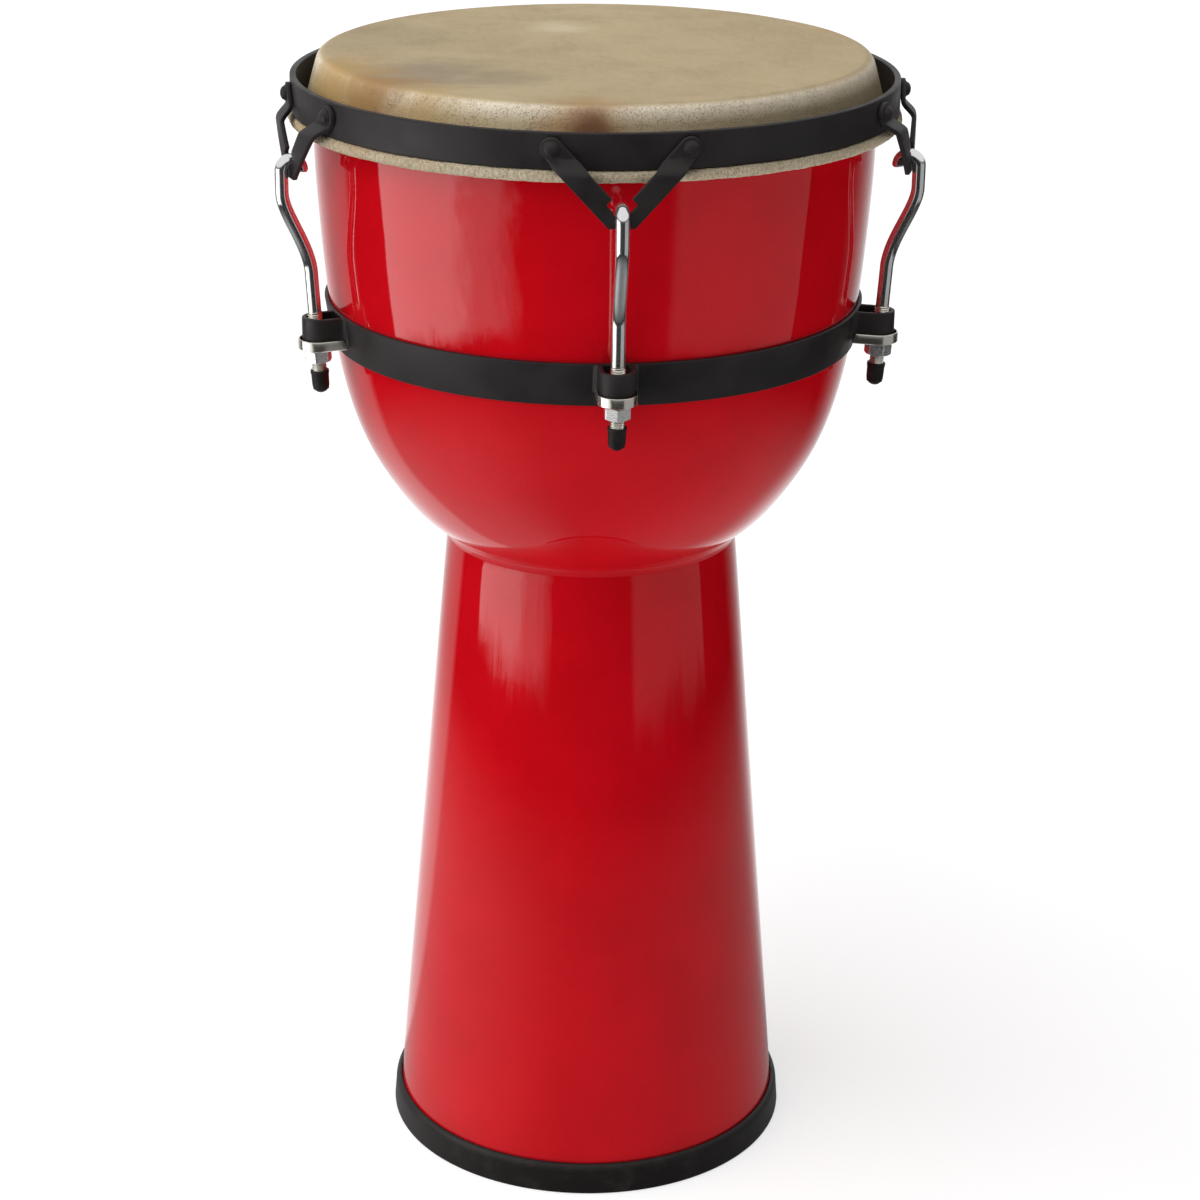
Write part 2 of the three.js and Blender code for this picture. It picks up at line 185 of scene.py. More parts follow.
def rounded(corners, radius, steps=4):
    """The closed outline with its corners bent. radius is one value, or one for each corner."""
    sizes = radius if isinstance(radius, (list, tuple)) else [radius] * len(corners)
    line = []
    for i, (corner, size) in enumerate(zip(corners, sizes)):
        corner = Vector(corner)
        if size == 0:
            line.append(corner)
            continue
        back = (Vector(corners[i - 1]) - corner).normalized()
        on = (Vector(corners[(i + 1) % len(corners)]) - corner).normalized()
        half = back.angle(on) / 2
        start, end = corner + back * size / math.tan(half), corner + on * size / math.tan(half)
        for step in range(steps + 1):
            t = step / steps
            line.append(start.lerp(corner, t).lerp(corner.lerp(end, t), t))
    return line


def bezier(pulls, steps):
    """Points on a cubic curve that starts at the first pull, up to the one before its end."""
    line = []
    for i in range(steps):
        t = i / steps
        shares = [math.comb(3, k) * t ** k * (1 - t) ** (3 - k) for k in range(4)]
        line.append(sum((pull * share for pull, share in zip(pulls, shares)), Vector((0, 0))))
    return line


def at_height(line, height):
    """Radius of an outline at a height."""
    return float(np.interp(height, [p.y for p in line], [p.x for p in line]))


# ---- Meshes -------------------------------------------------------------------------------------------

def finish_mesh(name, shape, sharp=32):
    """The bmesh as a mesh, smooth except where faces meet at more than sharp degrees."""
    bmesh.ops.remove_doubles(shape, verts=shape.verts, dist=HAIR)
    bmesh.ops.recalc_face_normals(shape, faces=shape.faces)
    mesh = bpy.data.meshes.new(name)
    shape.to_mesh(mesh)
    shape.free()
    mesh.shade_smooth()
    mesh.set_sharp_from_angle(angle=math.radians(sharp))
    return mesh


def mesh_of_rows(name, rows, wrap=True, sharp=32):
    """Quads between neighbouring closed rows of points. wrap joins the last row to the first."""
    shape = bmesh.new()
    made = [[shape.verts.new(p) for p in row] for row in rows]
    for i in range(len(made) if wrap else len(made) - 1):
        near, far = made[i], made[(i + 1) % len(made)]
        for j in range(len(near)):
            shape.faces.new((near[j - 1], near[j], far[j], far[j - 1]))
    return finish_mesh(name, shape, sharp)


def turned(name, profile, around=AROUND, place=TO_AXIS):
    """A solid of revolution about the Z axis from a closed (radius, height) outline, moved into place."""
    rows = []
    for i in range(around):
        angle = 2 * math.pi * i / around
        rows.append([Vector((p[0] * math.cos(angle), p[0] * math.sin(angle), p[1])) for p in profile])
    mesh = mesh_of_rows(name, rows)
    mesh.transform(place)
    return mesh


def plate(name, loop, thickness, edge, cuts, bend):
    """A plate with rounded edges from a flat outline, sliced along both axes so that bend can shape it."""
    lower = [(edge * (1 - math.sin(a)), edge * (1 - math.cos(a))) for a in np.linspace(0, math.pi / 2, 4)]
    levels = lower + [(inwards, thickness - depth) for inwards, depth in reversed(lower)]
    shape = bmesh.new()
    made = []
    for inwards, depth in levels:
        made.append([shape.verts.new((p.x, p.y, depth)) for p in inset(loop, inwards)])
    for near, far in zip(made, made[1:]):
        for j in range(len(near)):
            shape.faces.new((near[j - 1], near[j], far[j], far[j - 1]))
    shape.faces.new(reversed(made[0]))
    shape.faces.new(made[-1])
    for axis, spacing in enumerate(cuts):
        places = [v.co[axis] for v in shape.verts]
        for i in range(math.ceil(min(places) / spacing), math.floor(max(places) / spacing) + 1):
            across = Vector((0, 0, 0))
            across[axis] = 1
            everything = shape.verts[:] + shape.edges[:] + shape.faces[:]
            bmesh.ops.bisect_plane(
                shape, geom=everything, dist=HAIR, plane_co=across * i * spacing, plane_no=across)
    for v in shape.verts:
        v.co = bend(v.co)
    return finish_mesh(name, shape)


def sweep(name, path, side, section):
    """A solid along a line of points. section gives the (outwards, sideways) points at each station."""
    rows = []
    for i, here in enumerate(path):
        along = (path[min(i + 1, len(path) - 1)] - path[max(i - 1, 0)]).normalized()
        out = along.cross(side)
        rows.append([here + out * u + side * v for u, v in section(i)])
    ends = [[sum(row, Vector()) / len(row)] * len(row) for row in (rows[0], rows[-1])]
    return mesh_of_rows(name, [ends[0], *rows, ends[1]], wrap=False)


def lug_place(lug):
    """From a lug's own frame into the drum's frame."""
    return TO_AXIS @ Matrix.Rotation(math.radians(LUG_TURN * (lug - 1) - 90), 4, "Z")


def show(mesh, node, body, slot, *materials):
    """Puts a finished mesh in the scene in place of a CAD node, riding on a body."""
    piece = bpy.data.objects.new(f"{node}_fine", mesh)
    bpy.context.scene.collection.objects.link(piece)
    for material in materials:
        mesh.materials.append(material)
    if body:
        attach(piece, body)
    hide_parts(node)
    return piece


def show_at_lugs(mesh, node, body, slot, material):
    """Copies a mesh from the lug frame to every lug. node and body hold a place for the lug's number."""
    for lug in LUGS:
        copy = mesh.copy()
        copy.transform(lug_place(lug))
        show(copy, node.format(lug), body.format(lug), slot, material)


# ---- Material building blocks -------------------------------------------------------------------------

class Nodes:
    """A node tree, built a node at a time."""

    def __init__(self, tree):
        self.tree = tree

    def add(self, kind, inputs=None, **settings):
        made = self.tree.nodes.new(kind)
        for key, value in settings.items():
            setattr(made, key, value)
        for key, value in (inputs or {}).items():
            self.feed(made.inputs[key], value)
        return made

    def feed(self, socket, value):
        if isinstance(value, bpy.types.NodeSocket):
            self.tree.links.new(value, socket)
        else:
            socket.default_value = value

    def math(self, operation, a, b=0.0):
        return self.add("ShaderNodeMath", {0: a, 1: b}, operation=operation).outputs[0]

    def vector(self, operation, a, b=(0.0, 0.0, 0.0), output="Vector"):
        return self.add("ShaderNodeVectorMath", {0: a, 1: b}, operation=operation).outputs[output]

    def ramp(self, value, low, high, start=0.0, end=1.0):
        """Maps low to high onto start to end, smoothly, and holds the ends."""
        inputs = {"Value": value, "From Min": low, "From Max": high, "To Min": start, "To Max": end}
        return self.add("ShaderNodeMapRange", inputs, interpolation_type="SMOOTHSTEP").outputs[0]

    def between(self, amount, a, b):
        """A number on the way from a to b."""
        return self.add("ShaderNodeMix", {0: amount, 2: a, 3: b}).outputs[0]

    def mix(self, amount, a, b):
        """A colour on the way from a to b."""
        inputs = {0: amount, 6: rgba(a), 7: rgba(b)}
        return self.add("ShaderNodeMix", inputs, data_type="RGBA").outputs[2]


class Shader(Nodes):
    """A material's node tree."""

    def __init__(self, name):
        self.material = bpy.data.materials.new(name)
        self.material.use_nodes = True
        super().__init__(self.material.node_tree)
        self.surface = self.tree.nodes["Principled BSDF"]
        self.position = self.add("ShaderNodeNewGeometry").outputs["Position"]

    def set(self, **inputs):
        """Sets or links inputs of the surface, named with _ for a space."""
        for key, value in inputs.items():
            self.feed(self.surface.inputs[key.replace("_", " ")], value)

    def noise(self, size, detail=4.0, roughness=0.55, stretch=(1, 1, 1), warp=0.0):
        """Cloudy noise from 0 to 1, with features about size metres across."""
        inputs = {"Vector": self.vector("MULTIPLY", self.position, stretch), "Scale": 1 / size,
                  "Detail": detail, "Roughness": roughness, "Distortion": warp}
        return self.add("ShaderNodeTexNoise", inputs).outputs[0]

    def cells(self, size):
        """Distance from the middle of the nearest of many scattered cells, about size metres across."""
        inputs = {"Vector": self.position, "Scale": 1 / size}
        return self.add("ShaderNodeTexVoronoi", inputs).outputs["Distance"]

    def part(self, axis):
        """One coordinate of the position."""
        return self.add("ShaderNodeSeparateXYZ", {0: self.position}).outputs[axis]

    def bump(self, height, distance, normal=None):
        """A normal that is tilted by a relief. distance is how far a height of 1 stands out."""
        inputs = {"Height": height, "Distance": distance, "Strength": 1.0}
        if normal:
            inputs["Normal"] = normal
        return self.add("ShaderNodeBump", inputs).outputs[0]

    def edge(self, radius):
        """1 on the edges of a piece and 0 on its faces."""
        soft = self.add("ShaderNodeBevel", {"Radius": radius}, samples=4).outputs[0]
        sharp = self.add("ShaderNodeNewGeometry").outputs["Normal"]
        alike = self.vector("DOT_PRODUCT", soft, sharp, "Value")
        return self.ramp(alike, 0.99, 0.8)


def rgba(value):
    """A plain colour with its alpha, or a socket as it is."""
    if isinstance(value, tuple) and len(value) == 3:
        return (*value, 1.0)
    return value


# ---- Materials ----------------------------------------------------------------------------------------

def red_lacquer():
    """Deep red paint under thick gloss, a little uneven in depth and level, with a few specks and scuffs."""
    s = Shader("red_lacquer")
    cloud = s.noise(60 * MM, detail=3)
    grain = s.noise(1.6 * MM, detail=3, roughness=0.7)
    colour = s.mix(s.ramp(cloud, 0.35, 0.65), (0.53, 0.0034, 0.0085), (0.59, 0.0040, 0.0105))
    colour = s.mix(s.ramp(grain, 0.35, 0.65, 0, 0.22), colour, (0.46, 0.0026, 0.0065))
    colour = s.mix(s.ramp(s.cells(22 * MM), 0.022, 0.012), colour, (0.12, 0.004, 0.006))
    scuffs = s.ramp(s.noise(5 * MM, detail=6, roughness=0.7, stretch=(1, 1, 0.25)), 0.64, 0.74)
    level = s.bump(s.noise(34 * MM, detail=2, roughness=0.4), 0.10 * MM)
    peel = s.bump(s.noise(3.2 * MM, detail=2), 0.006 * MM, normal=level)
    s.set(Base_Color=colour, Roughness=0.6, Specular_IOR_Level=0.0, Normal=level)
    s.set(Coat_Weight=1.0, Coat_IOR=1.5, Coat_Normal=peel)
    s.set(Coat_Roughness=s.ramp(scuffs, 0, 1, 0.015, 0.07))
    return s.material


def shell_inside():
    """Bare pale wood inside the shell, with rings of grain that run round it."""
    s = Shader("shell_inside")
    grain = s.noise(9 * MM, detail=6, roughness=0.6, stretch=(0.25, 0.25, 3), warp=0.6)
    colour = s.mix(s.ramp(grain, 0.3, 0.7), (0.30, 0.17, 0.08), (0.55, 0.38, 0.22))
    s.set(Base_Color=colour, Roughness=0.75, Normal=s.bump(grain, 0.25 * MM))
    return s.material


def black_steel():
    """Satin black powder coat: fine orange peel, faint cloudiness and slightly lighter edges."""
    s = Shader("black_steel")
    cloud = s.ramp(s.noise(25 * MM, detail=5), 0.3, 0.7)
    peel = s.noise(0.9 * MM, detail=2)
    colour = s.mix(cloud, (0.0115, 0.0090, 0.0092), (0.0185, 0.0150, 0.0152))
    colour = s.mix(s.edge(0.9 * MM), colour, (0.040, 0.034, 0.034))
    s.set(Base_Color=colour, Roughness=s.ramp(cloud, 0, 1, 0.42, 0.55), Specular_IOR_Level=0.34)
    s.set(Normal=s.bump(peel, 0.03 * MM))
    return s.material


def black_rubber():
    """Matt black moulded rubber, dusty in places."""
    s = Shader("black_rubber")
    dust = s.ramp(s.noise(14 * MM, detail=7, roughness=0.7), 0.45, 0.75)
    pores = s.noise(0.7 * MM, detail=3)
    colour = s.mix(dust, (0.0080, 0.0056, 0.0054), (0.0210, 0.0165, 0.0158))
    s.set(Base_Color=colour, Roughness=s.ramp(dust, 0, 1, 0.46, 0.62), Specular_IOR_Level=0.34)
    s.set(Normal=s.bump(pores, 0.04 * MM))
    return s.material


def chrome():
    """Bright chrome plate with faint smears, going dull and straw-coloured in the threads' oil."""
    s = Shader("chrome_plate")
    smear = s.ramp(s.noise(11 * MM, detail=6, roughness=0.65, stretch=(1, 1, 0.4)), 0.4, 0.75)
    nut_height = joint("nut_1_turn")["pos_m"][2]
    oiled = s.ramp(s.part(2), nut_height + 36 * MM, nut_height + 22 * MM)
    colour = s.mix(smear, (0.93, 0.93, 0.94), (0.80, 0.81, 0.83))
    colour = s.mix(s.math("MULTIPLY", oiled, 0.5), colour, (0.66, 0.60, 0.44))
    dull = s.math("MULTIPLY", oiled, 0.12)
    s.set(Base_Color=colour, Metallic=0.94, Roughness=s.math("ADD", dull, s.ramp(smear, 0, 1, 0.05, 0.10)))
    s.set(Normal=s.bump(s.noise(6 * MM, detail=2), 0.03 * MM))
    return s.material


def zinc():
    """Bright zinc plate on the nuts, brushed a little by the spanner."""
    s = Shader("zinc_plate")
    brushed = s.noise(1.2 * MM, detail=4, roughness=0.7, stretch=(0.3, 0.3, 3))
    colour = s.mix(s.ramp(brushed, 0.3, 0.7), (0.70, 0.70, 0.70), (0.88, 0.88, 0.87))
    colour = s.mix(s.edge(0.5 * MM), colour, (0.92, 0.92, 0.90))
    s.set(Base_Color=colour, Metallic=0.85, Roughness=s.ramp(brushed, 0.3, 0.7, 0.16, 0.30))
    s.set(Normal=s.bump(brushed, 0.02 * MM))
    return s.material


def bare_steel():
    """Drawn steel bar with a grey mill finish."""
    s = Shader("bare_steel")
    mill = s.noise(2 * MM, detail=5, roughness=0.7)
    colour = s.mix(s.ramp(mill, 0.3, 0.7), (0.25, 0.24, 0.23), (0.42, 0.41, 0.40))
    s.set(Base_Color=colour, Metallic=1.0, Roughness=0.45, Normal=s.bump(mill, 0.04 * MM))
    return s.material


# The stains of the skin: place from the axis and the top, size, strength and colour.
HEAD_STAINS = [
    ((-0.096, -0.066, 0.000), 0.056, 0.62, (0.225, 0.180, 0.135)),
    ((-0.055, -0.080, 0.000), 0.034, 0.50, (0.240, 0.185, 0.130)),
    ((-0.120, 0.040, 0.000), 0.060, 0.35, (0.250, 0.200, 0.130)),
    ((-0.015, 0.066, 0.000), 0.026, 0.50, (0.720, 0.620, 0.440)),
    ((0.140, 0.050, -0.004), 0.022, 0.65, (0.420, 0.250, 0.110)),
    ((-0.122, -0.086, -0.012), 0.040, 0.90, (0.340, 0.190, 0.070)),
    ((-0.141, -0.050, -0.012), 0.046, 0.85, (0.460, 0.290, 0.105)),
    ((-0.092, -0.117, -0.014), 0.034, 0.70, (0.460, 0.310, 0.130)),
    ((-0.018, -0.149, -0.010), 0.032, 0.75, (0.380, 0.210, 0.085)),
    ((-0.014, -0.150, -0.013), 0.016, 0.80, (0.150, 0.055, 0.028)),
    ((0.110, -0.070, 0.000), 0.060, 0.25, (0.560, 0.440, 0.270)),
]


def rawhide():
    """Cloudy natural skin: stained in patches on top, pale with a painted highlight and pitted over the
    edge, hairy at its tuck.
    """
    s = Shader("rawhide")
    cloud = s.noise(70 * MM, detail=6, roughness=0.6, warp=0.5)
    fibre = s.noise(5 * MM, detail=6, roughness=0.7, stretch=(1, 0.35, 1), warp=0.8)
    colour = s.mix(s.ramp(cloud, 0.36, 0.66), (0.40, 0.305, 0.172), (0.485, 0.380, 0.222))
    colour = s.mix(s.ramp(fibre, 0.35, 0.7, 0, 0.3), colour, (0.56, 0.455, 0.292))
    ragged = s.math("SUBTRACT", s.noise(24 * MM, detail=6, stretch=(0.7, 1.8, 1)), 0.5)
    ragged = s.math("MULTIPLY", ragged, 1.1)
    colour, relief = edge_of_skin(s, colour)
    for (x, y, drop), size, strength, stain in HEAD_STAINS:
        centre = (x, AXIS_Y + y, CAD_BOX[1].z + drop)
        away = s.vector("DISTANCE", s.position, centre, "Value")
        away = s.math("ADD", s.math("DIVIDE", away, size), ragged)
        colour = s.mix(s.ramp(away, 1.0, 0.15, 0, strength), colour, stain)
    s.set(Base_Color=colour, Roughness=0.6, Specular_IOR_Level=0.25)
    s.set(Subsurface_Weight=0.12, Subsurface_Scale=2 * MM, Subsurface_Radius=(1.0, 0.6, 0.3))
    s.set(Normal=s.bump(relief, 0.25 * MM, normal=s.bump(fibre, 0.12 * MM)))
    return s.material


def edge_of_skin(s, colour):
    """Adds the shoulder's pale band (the skin's paler edge with a painted highlight on it), the shoulder's
    pits and the tuck's hair to the skin's colour, and gives the height of the pits and the hair.
    """
    top = CAD_BOX[1].z
    height = s.part(2)
    shoulder = s.ramp(height, top - 0.3 * MM, top - 2.2 * MM)
    # crest marks the pale band: the skin's own paler edge plus a painted highlight just over the shoulder,
    # and painted light down the wall below it.
    crest = s.math("MULTIPLY", shoulder, s.ramp(height, top - 11 * MM, top - 3 * MM, 0.15, 1.0))
    tuck = s.ramp(height, RIM_LOW.z + 4 * MM, RIM_LOW.z)
    pits = s.ramp(s.cells(1.0 * MM), 0.46, 0.20)
    pits = s.math("MULTIPLY", pits, s.ramp(s.noise(7 * MM, detail=4), 0.30, 0.60))
    hair = s.noise(1.1 * MM, detail=6, roughness=0.8, stretch=(1, 1, 0.5))
    pale = s.mix(s.ramp(hair, 0.3, 0.7), (0.76, 0.66, 0.51), (0.98, 0.90, 0.75))
    # Painted highlight along the shoulder, laid over the skin's paler edge, which also lightens the wall as
    # painted light.
    colour = s.mix(s.math("MULTIPLY", crest, 0.75), colour, pale)
    pits = s.math("MULTIPLY", pits, shoulder)
    colour = s.mix(s.math("MULTIPLY", pits, 0.6), colour, (0.24, 0.17, 0.10))
    fuzz = s.mix(s.ramp(hair, 0.34, 0.62), (0.30, 0.24, 0.16), (0.62, 0.53, 0.38))
    colour = s.mix(tuck, colour, fuzz)
    tufts = s.math("MULTIPLY", s.math("MULTIPLY", hair, tuck), 2.0)
    return colour, s.math("SUBTRACT", tufts, pits)


# ---- Shell --------------------------------------------------------------------------------------------

BOWL_WALL = 8 * MM
STEM_WALL = 6 * MM
SKIN = 1.1 * MM
SKIN_PLAY = 0.3 * MM
SHOULDER_RADIUS = 143.7 * MM
SHOULDER_BEND = 6 * MM
SHOULDER_LEAN = 16.2              # degrees between the wall of the skin and the upright
BOWL_LINE = outline("shell_bowl")
STEM_LINE = [p for p in outline("shell_stem") if p.y < SHELL_LOW.z]


def inner_faces(mesh):
    """Gives the second material to the faces that look towards the axis."""
    for face in mesh.polygons:
        out = face.center - Vector((0, AXIS_Y, face.center.z))
        if face.normal.dot(out.normalized()) < -0.2:
            face.material_index = 1


def bowl():
    """A turned bowl with a round bearing edge under the skin. Its bore takes the stem's spigot."""
    crest = SHOULDER_BEND - SKIN - SKIN_PLAY
    centre = (SHOULDER_RADIUS, SHELL_HIGH.z - crest)
    side = smooth_line([p for p in BOWL_LINE if p.y < centre[1]], 3 * MM)
    bore = radii("shell_bowl")[0]
    inside = [p for p in offset_line(side, BOWL_WALL) if p.x > bore + MM]
    slope = centre[0] - inside[-1].x
    step = 2 * MM
    profile = [
        Vector((bore, SHELL_LOW.z)), *side, *arc(centre, crest, SHOULDER_LEAN, 90, 8),
        Vector((inside[-1].x, SHELL_HIGH.z - slope)), *reversed(inside), Vector((bore, inside[0].y - step)),
    ]
    mesh = turned("bowl", profile)
    inner_faces(mesh)
    show(mesh, "shell_bowl", "shell", "red_lacquer", LACQUER, INSIDE)


def stem():
    """A turned cone whose neck, the spigot, is glued into the bowl."""
    side = smooth_line(STEM_LINE, 6 * MM)
    seam = Vector((side[-1].x, SHELL_LOW.z - 2 * HAIR))
    spigot_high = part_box("shell_stem")[1].z
    spigot = outline("shell_stem")[-1].x
    inside = offset_line(side, STEM_WALL)
    profile = [
        *side, seam, Vector((spigot, seam.y)), Vector((spigot, spigot_high)),
        Vector((inside[-1].x, spigot_high)), *reversed(inside),
    ]
    mesh = turned("stem", profile)
    inner_faces(mesh)
    show(mesh, "shell_stem", "shell", "red_lacquer", LACQUER, INSIDE)


def foot():
    """A moulded rubber channel. Its groove holds the stem's edge, and its wall rolls in at the top."""
    inner, outer = radii("foot_ring")
    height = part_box("foot_ring")[1].z
    wall = 1.0 * MM
    sole = 3 * MM
    shoulder = 12 * MM
    lining_top = 12 * MM
    lip = 0.6 * MM
    play = 0.4 * MM
    grip = [at_height(STEM_LINE, z) + play for z in (height, sole)]
    lining = [at_height(STEM_LINE, z) - STEM_WALL - play for z in (sole, lining_top)]
    roll_from, roll_to = outer - wall, grip[0] + lip
    roll = []
    for a in np.linspace(0, math.pi / 2, 9):
        inwards = (roll_to - roll_from) * (1 - math.cos(a))
        roll.append(Vector((roll_from + inwards, shoulder + (height - shoulder) * math.sin(a))))
    corners = [
        (inner, 0), (outer, 0), *roll, (grip[0], height), (grip[1], sole),
        (lining[0], sole), (lining[1], lining_top), (inner, lining_top),
    ]
    outside = [0.8 * MM, 1.6 * MM, 2 * MM]
    inside = [0.2 * MM, 0.5 * MM, 0.5 * MM, 0.8 * MM, 0.8 * MM]
    sizes = outside + [0] * (len(roll) - 1) + inside
    show(turned("foot", rounded(corners, sizes)), "foot_ring", "shell", "black_rubber", RUBBER)


def belt():
    """A flat steel band that follows the bowl, with softened edges."""
    line = outline("belt_band")
    thickness, edge = 2 * MM, 0.5 * MM
    half = [edge] + [0] * (len(line) - 2) + [edge]
    corners = [*line, *reversed(offset_line(line, thickness))]
    sizes = half + half
    show(turned("belt", rounded(corners, sizes)), "belt_band", "shell", "black_steel", STEEL)


# ---- Lugs ---------------------------------------------------------------------------------------------

def lug_loops():
    """A flat strap bent into a U and welded to the belt, where a fillet spreads its roots."""
    _, far, half_width, low, high = lug_span("lug_loop")
    strap, corner = 2.5 * MM, 0.6 * MM
    fillet, reach = 2.4 * MM, 3.6 * MM
    buried, weld_depth = 1 * MM, 0.4 * MM
    belt_line = outline("belt_band")
    bend = half_width - strap / 2
    centre = far - half_width
    root = at_height(belt_line, low) - buried
    straight = [root + (centre - root) * i / 12 for i in range(12)]
    path = [Vector((x, -bend, 0)) for x in straight]
    path += [p.to_3d() for p in arc((centre, 0), bend, -90, 90, 28)]
    path += [Vector((x, bend, 0)) for x in reversed(straight)]
    half, tall = strap / 2, (high - low) / 2
    middle = (high + low) / 2
    outline_2d = rounded([(half, -tall), (half, tall), (-half, tall), (-half, -tall)], corner)

    def section(i):
        from_belt = max(0, path[i].x - root - buried)
        spread = fillet * max(0, 1 - from_belt / reach) ** 2
        return [(u + math.copysign(spread, u), v) for u, v in outline_2d]

    mesh = sweep("loop", path, Vector((0, 0, 1)), section)
    mesh.transform(Matrix.Translation((0, 0, middle)))
    for v in mesh.vertices:
        v.co.x = max(v.co.x, at_height(belt_line, v.co.z) - weld_depth)
    show_at_lugs(mesh, "lug_loop_{}", "shell", "black_steel", STEEL)


def tray_washers():
    """A pressed washer: a plate with a hole, its edge turned up into a rounded lip round the open side."""
    near, far, radius, low, high = lug_span("lug_washer")
    hole, lip, sheet, edge = 4.7 * MM, 0.9 * MM, 2 * MM, 0.3 * MM
    centre = far - radius
    tray = low + sheet
    end_steps, inner_steps, round_steps = 6, 12, 40
    loop = [Vector((centre - (centre - near) * i / end_steps, radius)) for i in range(1, end_steps + 1)]
    loop += [Vector((near, radius - 2 * radius * i / inner_steps)) for i in range(1, inner_steps)]
    loop += [Vector((near + (centre - near) * i / end_steps, -radius)) for i in range(end_steps)]
    loop += arc((centre, 0), radius, -90, 90, round_steps)
    levels = [(0.4 * MM, low), (0, low + 0.4 * MM), (0, high - 0.45 * MM), (0.15 * MM, high - 0.12 * MM),
              (0.45 * MM, high), (0.75 * MM, high - 0.12 * MM), (lip, high - 0.45 * MM),
              (lip, tray + 0.8 * MM), (lip + 0.25 * MM, tray + 0.25 * MM), (lip + 0.9 * MM, tray)]
    rows = []
    for here, angle in [(p, math.atan2(p.y, p.x - centre)) for p in loop]:
        at_end = here.x < near + 0.5 * MM
        column = []
        for inwards, z in levels:
            flat = Vector((centre, 0)) + (here - Vector((centre, 0))) * (1 - inwards / radius)
            column.append(Vector((flat.x, flat.y, min(z, tray) if at_end else z)))
        for rim, z in ((hole + edge, tray), (hole, tray - edge), (hole, low + edge), (hole + edge, low)):
            column.append(Vector((centre + rim * math.cos(angle), rim * math.sin(angle), z)))
        rows.append(column)
    show_at_lugs(mesh_of_rows("washer", rows), "lug_washer_{}", "shell", "chrome_plate", CHROME)


# ---- Rods and their hardware --------------------------------------------------------------------------

ROD = 3.6 * MM
THREAD_CREST = 3.95 * MM
THREAD_ROOT = 3.35 * MM
THREAD_PITCH = 1.25 * MM
THREAD_STEPS = 6                  # stations along one turn of the thread
NUT_JOINT = joint("nut_1_turn")
NUT_CENTRE = Vector((AXIS_Y - NUT_JOINT["pos_m"][1], 0, NUT_JOINT["pos_m"][2]))
ROD_WAY = Vector((-NUT_JOINT["axis"][1], 0, NUT_JOINT["axis"][2]))
ON_ROD = Matrix.Translation(NUT_CENTRE) @ ROD_WAY.to_track_quat("Z", "Y").to_matrix().to_4x4()


def rod_at(height):
    """The point of the rod's straight foot at a height, in the lug's frame."""
    return NUT_CENTRE + ROD_WAY * (height - NUT_CENTRE.z) / ROD_WAY.z


def thread_radius(station, share):
    """The rod's radius at a station of its thread and a share of the way round it."""
    turn = (station / THREAD_STEPS + share) % 1
    rise = min(1, 1.35 * abs(2 * turn - 1))
    run_in = min(1, station / (2 * THREAD_STEPS))
    return ROD + run_in * (THREAD_ROOT + (THREAD_CREST - THREAD_ROOT) * rise - ROD)


def tension_rods():
    """Wire with a hook at the top, a step inwards half way down and a rolled thread along its foot."""
    _, far, _, low, high = lug_span("tension_rod")
    bend = 5.4 * MM
    hook = (far - bend - ROD, high - bend - ROD)
    shank = far - ROD
    step_top, step_low = hook[1] - 11.5 * MM, hook[1] - 57.5 * MM
    upper_pull, lower_pull, sag = step_top - 12 * MM, step_low + 17 * MM, 0.8 * MM
    thread_top = NUT_CENTRE.z + 25 * MM
    foot = rod_at(step_low)
    pulls = [Vector((shank, step_top)), Vector((shank, upper_pull)),
             Vector((rod_at(lower_pull).x - sag, lower_pull)), Vector((foot.x, foot.z))]
    sides, straight_steps, end_rounding = 24, 6, (0.80, 0.93)
    line = list(reversed(arc(hook, bend, 0, 190, 36)))
    for i in range(1, straight_steps):
        line.append(Vector((shank, hook[1] + (step_top - hook[1]) * i / straight_steps)))
    line += bezier(pulls, 32)
    path = [Vector((p.x, 0, p.y)) for p in line]
    path += [foot.lerp(rod_at(thread_top), i / straight_steps) for i in range(straight_steps)]
    steps = round((thread_top - low) / THREAD_PITCH * THREAD_STEPS)
    thread_start = len(path)
    path += [rod_at(thread_top).lerp(rod_at(low), i / steps) for i in range(steps + 1)]

    def section(i):
        from_end = min(i, len(path) - 1 - i)
        shrink = end_rounding[from_end] if from_end < len(end_rounding) else 1.0
        ring = []
        for k in range(sides):
            angle = 2 * math.pi * k / sides
            radius = shrink * (thread_radius(i - thread_start, k / sides) if i >= thread_start else ROD)
            ring.append((radius * math.cos(angle), radius * math.sin(angle)))
        return ring

    mesh = sweep("rod", path, Vector((0, 1, 0)), section)
    show_at_lugs(mesh, "tension_rod_{}", "rod_{}", "chrome_plate", CHROME)


def tuning_nuts():
    """A hexagon nut with 30 degree chamfers on its corners and countersunk threads."""
    low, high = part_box("tuning_nut_1")
    half_flats, bore, sink = 6.5 * MM, 4.35 * MM, 0.6 * MM
    top = 6.7 * MM / 2
    middle = (low.z + high.z) / 2 - NUT_CENTRE.z
    chamfer = math.radians(30)
    face = half_flats * 0.95
    corner = half_flats / math.cos(math.pi / 6) * 0.985
    sides = 96

    def side(angle):
        off_flat = (angle + math.pi / 6) % (math.pi / 3) - math.pi / 6
        return min(half_flats / math.cos(off_flat), corner)

    rows = []
    for i in range(sides):
        angle = 2 * math.pi * i / sides
        reach = side(angle)
        drop = (reach - face) * math.tan(chamfer)
        half = [(bore, top - sink), (bore + sink, top), (face, top), (reach, top - drop)]
        column = half + [(r, -z) for r, z in reversed(half)]
        rows.append([Vector((r * math.cos(angle), r * math.sin(angle), z + middle)) for r, z in column])
    mesh = mesh_of_rows("nut", rows, sharp=24)
    mesh.transform(ON_ROD)
    show_at_lugs(mesh, "tuning_nut_{}", "nut_{}", "zinc_plate", ZINC)


